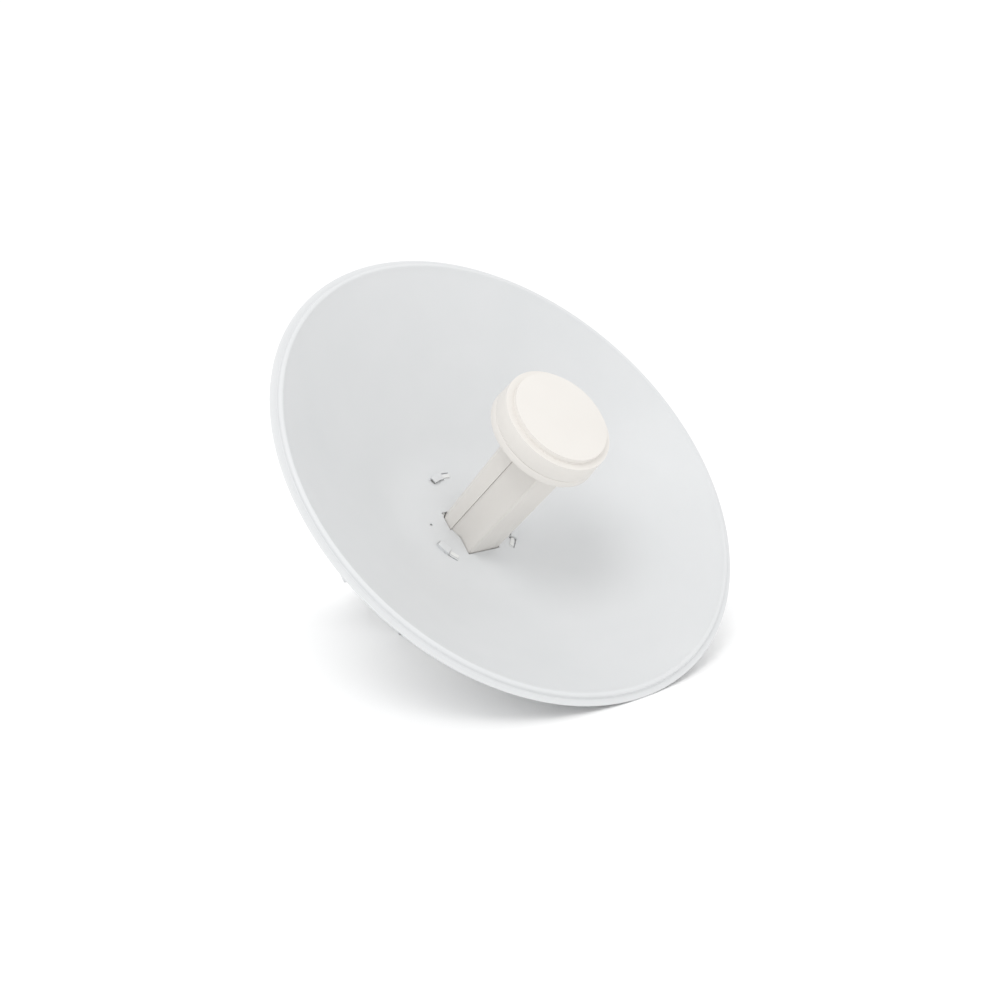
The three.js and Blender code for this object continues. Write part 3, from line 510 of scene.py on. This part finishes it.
# %% Dish openings
TAB_STEPS = (98.6, 214.9, 325.1)  # degrees, the radial cut of each tab
TAB_SIDES = (1, -1, 1)  # which way the thin slit runs from that cut
HOOD_SPAN = 16  # degrees
HOOD_INNER = 41  # mm
HOOD_OUTER = 47.2  # mm
HOOD_HEIGHT = 2.6  # mm, above the flat bottom
HOOD_SHEET = 1.3  # mm, the drawn sheet of the hood
STEP_SPAN = 2.2  # degrees, width of the radial cut
SLIT_SPAN = 13.5  # degrees
INSET = 1.4  # degrees, from the radial cut to the hood
STEM_GAP = 0.6  # mm, all round the stem
below = flat_w - 5
above = flat_w + 1

upper_low, upper_high = extent("stem_upper_shell")
lower_low, _ = extent("stem_lower_shell")
stem_top = 10  # mm, the stem's top face where it passes the dish
split = upper_low.y
waist = -14.9  # mm, where the sloping waist of the stem ends
foot_half = 16.5  # mm, half the width of the stem's foot
DRAIN_RADIUS = 1.2  # mm
DRAIN_PLACE = (-38.9, 1.6)  # mm, along X and U
wide = upper_high.x + STEM_GAP
foot_wide = foot_half + STEM_GAP
cutters = [
    block("opening_upper", (-wide, split - STEM_GAP, below), (wide, stem_top + STEM_GAP, above)),
    block("opening_foot", (-foot_wide, lower_low.y - STEM_GAP, below), (foot_wide, 0, above)),
]
sloping = block("opening_waist", (-wide + 1, waist, below), (wide - 1, split + 1, above))
pick(sloping)
bpy.ops.object.mode_set(mode="EDIT")
bpy.ops.mesh.select_all(action="DESELECT")
bpy.ops.mesh.select_mode(type="FACE")
bpy.ops.object.mode_set(mode="OBJECT")
for face in sloping.data.polygons:
    face.select = face.normal.y < -0.9
bpy.ops.object.mode_set(mode="EDIT")
bpy.ops.transform.resize(value=(foot_wide / (wide - 1), 1, 1), center_override=(0, 0, 0))
bpy.ops.object.mode_set(mode="OBJECT")
cutters.append(sloping)
cutters.append(turned("drain", [(DRAIN_RADIUS, below), (DRAIN_RADIUS, above)], 24))
cutters[-1].location = (DRAIN_PLACE[0] * MM, DRAIN_PLACE[1] * MM, 0)
apply_place(cutters[-1])
for cutter in cutters:
    combine(bottom, cutter, "DIFFERENCE")
for step, side in zip(TAB_STEPS, TAB_SIDES):
    tab_cuts = (
        ("window", HOOD_INNER, HOOD_OUTER - HOOD_SHEET, step, -side * (HOOD_SPAN - 2)),
        ("step", HOOD_INNER - 0.5, HOOD_OUTER + 0.3, step - STEP_SPAN / 2, STEP_SPAN),
        ("slit", HOOD_OUTER - 1, HOOD_OUTER, step, side * SLIT_SPAN),
    )
    for name, inner, outer, start, sweep in tab_cuts:
        combine(bottom, arc_block(name, inner, outer, below, above, start, sweep), "DIFFERENCE")
low, high = flat_w - SHEET / 2, flat_w + HOOD_HEIGHT
room_outer, room_top = HOOD_OUTER - HOOD_SHEET, high - HOOD_SHEET
for step, side in zip(TAB_STEPS, TAB_SIDES):
    start, sweep = step - side * INSET, -side * (HOOD_SPAN - INSET)
    hood = arc_block("hood", HOOD_INNER, HOOD_OUTER, low, high, start, sweep)
    start, sweep = step + side, -side * (HOOD_SPAN - 1)
    room = arc_block("room", HOOD_INNER - 2, room_outer, low - 1, room_top, start, sweep)
    combine(hood, room, "DIFFERENCE")
    soften(hood, 0.35)
    combine(bottom, hood, "UNION")
pick(bottom)
bpy.ops.object.mode_set(mode="EDIT")
bpy.ops.mesh.select_all(action="DESELECT")
bpy.ops.object.mode_set(mode="OBJECT")
for face in bottom.data.polygons:
    face.select = abs(face.normal.z) < 0.1 and math.hypot(*face.center.xy) > (FLAT_END - 0.1) * MM
bpy.ops.object.mode_set(mode="EDIT")
bpy.ops.mesh.select_mode(type="FACE")
bpy.ops.mesh.delete(type="ONLY_FACE")
bpy.ops.object.mode_set(mode="OBJECT")
dish = join(bottom, bowl)
face_outwards(dish)
bpy.ops.object.shade_smooth_by_angle(angle=math.radians(35))
finish_piece(dish, "dish_reflector_coated", dish_coat, "reflector", ["dish_reflector"])

# %% [markdown]
# ## Feed head
#
# The head is a moulded cup in two halves. The front cap steps back from a raised disc to a lip, and
# widens a little towards the seam; the rear base carries on to a flat back with a window for the
# board. Each is turned solid and hollowed by a second turned body, and then its edges are rounded.

# %% Feed head
HEAD_SIDES = 160
HEAD_WALL = 2.0  # mm
LIP_TAPER = 0.9  # mm, how much the cap's side narrows towards its lip
LIP_WIDTH = 6.5  # mm, from the cap's widest radius in to the raised disc
DISC_HEIGHT = 4.9  # mm, the raised disc above the lip
SEAM = 0.3  # mm, between cap and base
cap_low, cap_high = extent("feed_cap")
base_low, base_high = extent("feed_head_base")
cap_radius = cap_high.x
seam_w = cap_low.z
head_front = cap_high.z
lip_radius = cap_radius - LIP_TAPER
disc_radius = cap_radius - LIP_WIDTH
lip_w = head_front - DISC_HEIGHT
cap = turned(
    "feed_cap_moulded",
    [
        (cap_radius, seam_w),
        (lip_radius, lip_w),
        (disc_radius, lip_w),
        (disc_radius, head_front),
    ],
    HEAD_SIDES,
)
hollow = turned(
    "hollow",
    [
        (cap_radius - HEAD_WALL, seam_w - 1),
        (lip_radius - HEAD_WALL, lip_w - HEAD_WALL),
        (disc_radius - HEAD_WALL, lip_w - HEAD_WALL),
        (disc_radius - HEAD_WALL, head_front - HEAD_WALL),
    ],
    HEAD_SIDES,
)
combine(cap, hollow, "DIFFERENCE")
soften(cap, 0.7, segments=4)
finish_piece(cap, "feed_cap_moulded", feed_asa, "feed", ["feed_cap"])

back_radius = base_high.x
back_w = base_low.z
seam_rear = seam_w - SEAM
base = turned(
    "feed_base_moulded",
    [(back_radius, back_w), (cap_radius, seam_rear)],
    HEAD_SIDES,
)
hollow = turned(
    "hollow",
    [(back_radius - HEAD_WALL, back_w + HEAD_WALL), (cap_radius - HEAD_WALL, seam_rear + 1)],
    HEAD_SIDES,
)
combine(base, hollow, "DIFFERENCE")
window = block("board_window", (-13, -20, back_w - 1), (13, 6, back_w + HEAD_WALL + 1))
combine(base, window, "DIFFERENCE")
soften(base, 0.8, segments=4)
finish_piece(base, "feed_base_moulded", feed_asa, "feed", ["feed_head_base"])

# %% [markdown]
# ## Parts taken over from the design
#
# Flat and prismatic parts already have their true shape in the frame, with hard edges. A copy is
# merged, its loose triangles are dissolved into whole faces, and a small bevel gives the edge that
# the mould or the press leaves.

# %% Softened copies


def softened_copy(node, finish, body, width, segments=2):
    """A copy of a CAD node with whole faces and rounded edges."""
    source = frame["nodes"][node]
    piece = source.copy()
    piece.data = source.data.copy()
    for key in list(piece.keys()):
        del piece[key]
    piece.parent = None
    bpy.context.scene.collection.objects.link(piece)
    pick(piece)
    bpy.ops.object.mode_set(mode="EDIT")
    bpy.ops.mesh.select_all(action="SELECT")
    bpy.ops.mesh.remove_doubles(threshold=0.002 * MM)
    bpy.ops.mesh.dissolve_limited(angle_limit=math.radians(1))
    bpy.ops.object.mode_set(mode="OBJECT")
    soften(piece, width, segments)
    return finish_piece(piece, node + "_finished", finish, body, [node], Matrix())


for node, width in (("stem_upper_shell", 0.6), ("stem_lower_shell", 0.5)):
    softened_copy(node, feed_asa, "feed", width, 3)
softened_copy("rear_housing", housing_asa, "reflector", 0.35)
softened_copy("housing_cover", housing_asa, "reflector", 0.6, 3)
softened_copy("port_cover", housing_asa, "cover", 0.35)
softened_copy("release_button", grey_acetal, "release", 0.6, 3)
softened_copy("reset_button", grey_acetal, "reset", 0.2)
softened_copy("led_window", window_pc, "reflector", 0.3)
softened_copy("dish_bracket", bracket_coat, "reflector", 0.5)
softened_copy("pole_bracket", bracket_coat, "pole_mount", 0.4)
softened_copy("clamp_jaw", bracket_coat, "jaw", 0.5)
softened_copy("ethernet_jack", tin, "feed", 0.25)
for number in (1, 2):
    softened_copy(f"shield_can_{number}", tin, "feed", 0.2)

# %% [markdown]
# ## Fasteners
#
# The hexagon of a bolt's head or a nut is a six-sided prism whose corners are turned off on a lathe,
# so it is made by intersecting the prism with a turned disc. Threads are drawn as rings at the real
# pitch, which looks the same as a helix at this size and keeps the mesh closed.

# %% Fastener helpers
THREAD_DEPTH = 0.6  # of the pitch
WASHER = 1.2  # mm, thickness
BORE_GAP = 0.25  # mm, a nut's bore round its bolt


def threaded_profile(radius, low, high, pitch):
    """Rings of a thread between two heights."""
    turns = int((high - low) / pitch)
    depth = THREAD_DEPTH * pitch
    rings = [(radius - depth, low)]
    for turn in range(turns):
        base_height = low + turn * pitch
        rings += [(radius, base_height + pitch / 2), (radius - depth, base_height + pitch)]
    return rings


def hexagon(name, radius, low, high, both_ends):
    """A hexagonal head with its corners turned off, on both ends if it is a nut."""
    prism = turned(name, [(radius, low), (radius, high)], 6)
    slant = 0.14 * radius
    flat = radius * 0.9
    disc = [(flat if both_ends else radius * 1.02, low)]
    disc += [(radius * 1.02, low + slant)] if both_ends else []
    disc += [(radius * 1.02, high - slant), (flat, high)]
    return combine(prism, turned("lathe", disc, 48), "INTERSECT")


def middle_of(node):
    """The middle, lowest and highest corner of a CAD node along X, U and W."""
    low, high = extent(node)
    return (low + high) / 2, low, high


# %% Bracket bolts
HEX_HEIGHT = 4.0  # mm, head and washer together
for number in range(1, 5):
    node = f"bracket_bolt_{number}"
    centre, low, high = middle_of(node)
    head_radius = (high.x - low.x) / 2 - 1
    shank = turned("shank", threaded_profile(3, HEX_HEIGHT - 0.5, high.z - low.z, 1.0), 32)
    washer = turned(
        "washer", [(head_radius + 1, HEX_HEIGHT - WASHER), (head_radius + 1, HEX_HEIGHT)], 48
    )
    soften(washer, 0.25)
    bolt = join(shank, washer, hexagon("head", head_radius, 0, HEX_HEIGHT - 1, True))
    bolt.location = Vector((centre.x, centre.y, low.z)) * MM
    bpy.ops.object.shade_smooth_by_angle(angle=math.radians(30))
    finish_piece(bolt, node + "_zinc", zinc, "reflector", [node])

# %% Side bolts and their nuts


def side_fastener(node, body, head_radius, bolt_radius, pitch):
    """A bolt or nut along X, with its head outwards."""
    centre, low, high = middle_of(node)
    length = high.x - low.x
    if node.endswith("nut"):
        part = hexagon("nut", head_radius, 0, length, True)
        bore = bolt_radius + BORE_GAP
        combine(part, turned("bore", [(bore, -1), (bore, length + 1)], 32), "DIFFERENCE")
    else:
        head_height = length - (earside - min(abs(low.x), abs(high.x)))
        shank_high = length - head_height
        shank = turned("shank", threaded_profile(bolt_radius, 0, shank_high + 0.5, pitch), 32)
        washer_top = shank_high + WASHER
        washer = turned("washer", [(head_radius + 1, shank_high), (head_radius + 1, washer_top)], 48)
        soften(washer, 0.25)
        part = join(shank, washer, hexagon("head", head_radius, shank_high + 1, length, True))
    side = 1 if centre.x > 0 else -1
    part.rotation_euler = (0, side * math.pi / 2, 0)
    part.location = Vector((side * min(abs(low.x), abs(high.x)), centre.y, centre.z)) * MM
    pick(part)
    bpy.ops.object.shade_smooth_by_angle(angle=math.radians(30))
    finish_piece(part, node + "_zinc", zinc, body, [node])


earside = extent("dish_bracket")[1].x + 0.3  # mm, where the heads start
for hand in ("left", "right"):
    for kind in ("bolt", "nut"):
        side_fastener(f"pivot_{hand}_{kind}", "pole_mount", 7.2, 4, 1.25)
        side_fastener(f"lock_{hand}_{kind}", "pole_mount", 5.6, 3, 1.0)

# %% Clamp bolts and flange nuts
for number in (1, 2):
    node = f"clamp_bolt_{number}"
    centre, low, high = middle_of(node)
    head_radius = (high.x - low.x) / 2
    dome = arc((0, head_radius * 0.9), head_radius * 1.3, -50, -90, 7)
    head_rings = [(max(r, 0.4), h + head_radius * 0.4) for r, h in dome[::-1]]
    head_height = 3.6
    head_curve = [(r, min(h, head_height)) for r, h in head_rings[1:]]
    head = turned("head", [(0.4, 0), *head_curve, (head_radius, head_height)], 48)
    shank = turned("shank", threaded_profile(4, head_height - 0.2, high.z - low.z, 1.25), 32)
    bolt = join(shank, head)
    bolt.location = Vector((centre.x, centre.y, low.z)) * MM
    pick(bolt)
    bpy.ops.object.shade_smooth_by_angle(angle=math.radians(30))
    finish_piece(bolt, node + "_zinc", zinc, "jaw", [node])
    node = f"clamp_nut_{number}"
    centre, low, high = middle_of(node)
    height = high.z - low.z
    flange = turned("flange", [(8, 0), (8, 1.4)], 48)
    soften(flange, 0.3)
    nut = combine(flange, hexagon("nut", 6.5, 1, height, True), "UNION")
    combine(nut, turned("bore", [(4.25, -1), (4.25, height + 1)], 32), "DIFFERENCE")
    nut.location = Vector((centre.x, centre.y, low.z)) * MM
    pick(nut)
    bpy.ops.object.shade_smooth_by_angle(angle=math.radians(30))
    finish_piece(nut, node + "_zinc", zinc, "pole_mount", [node])

# %% [markdown]
# The small parts that are left sit inside the feed or show only their heads. They keep the mesh of
# the design and take the right finish.

# %% Finishes on the design's own parts
for node, finish in (
    ("head_seal", silicone),
    ("sub_reflector", rolled),
    ("heat_spreader", rolled),
    ("radiator", circuit),
    ("main_board", circuit),
    ("stem_screw_1", zinc),
    ("stem_screw_2", zinc),
    ("ground_screw", zinc),
):
    frame["nodes"][node].data.materials.clear()
    frame["nodes"][node].data.materials.append(finish)
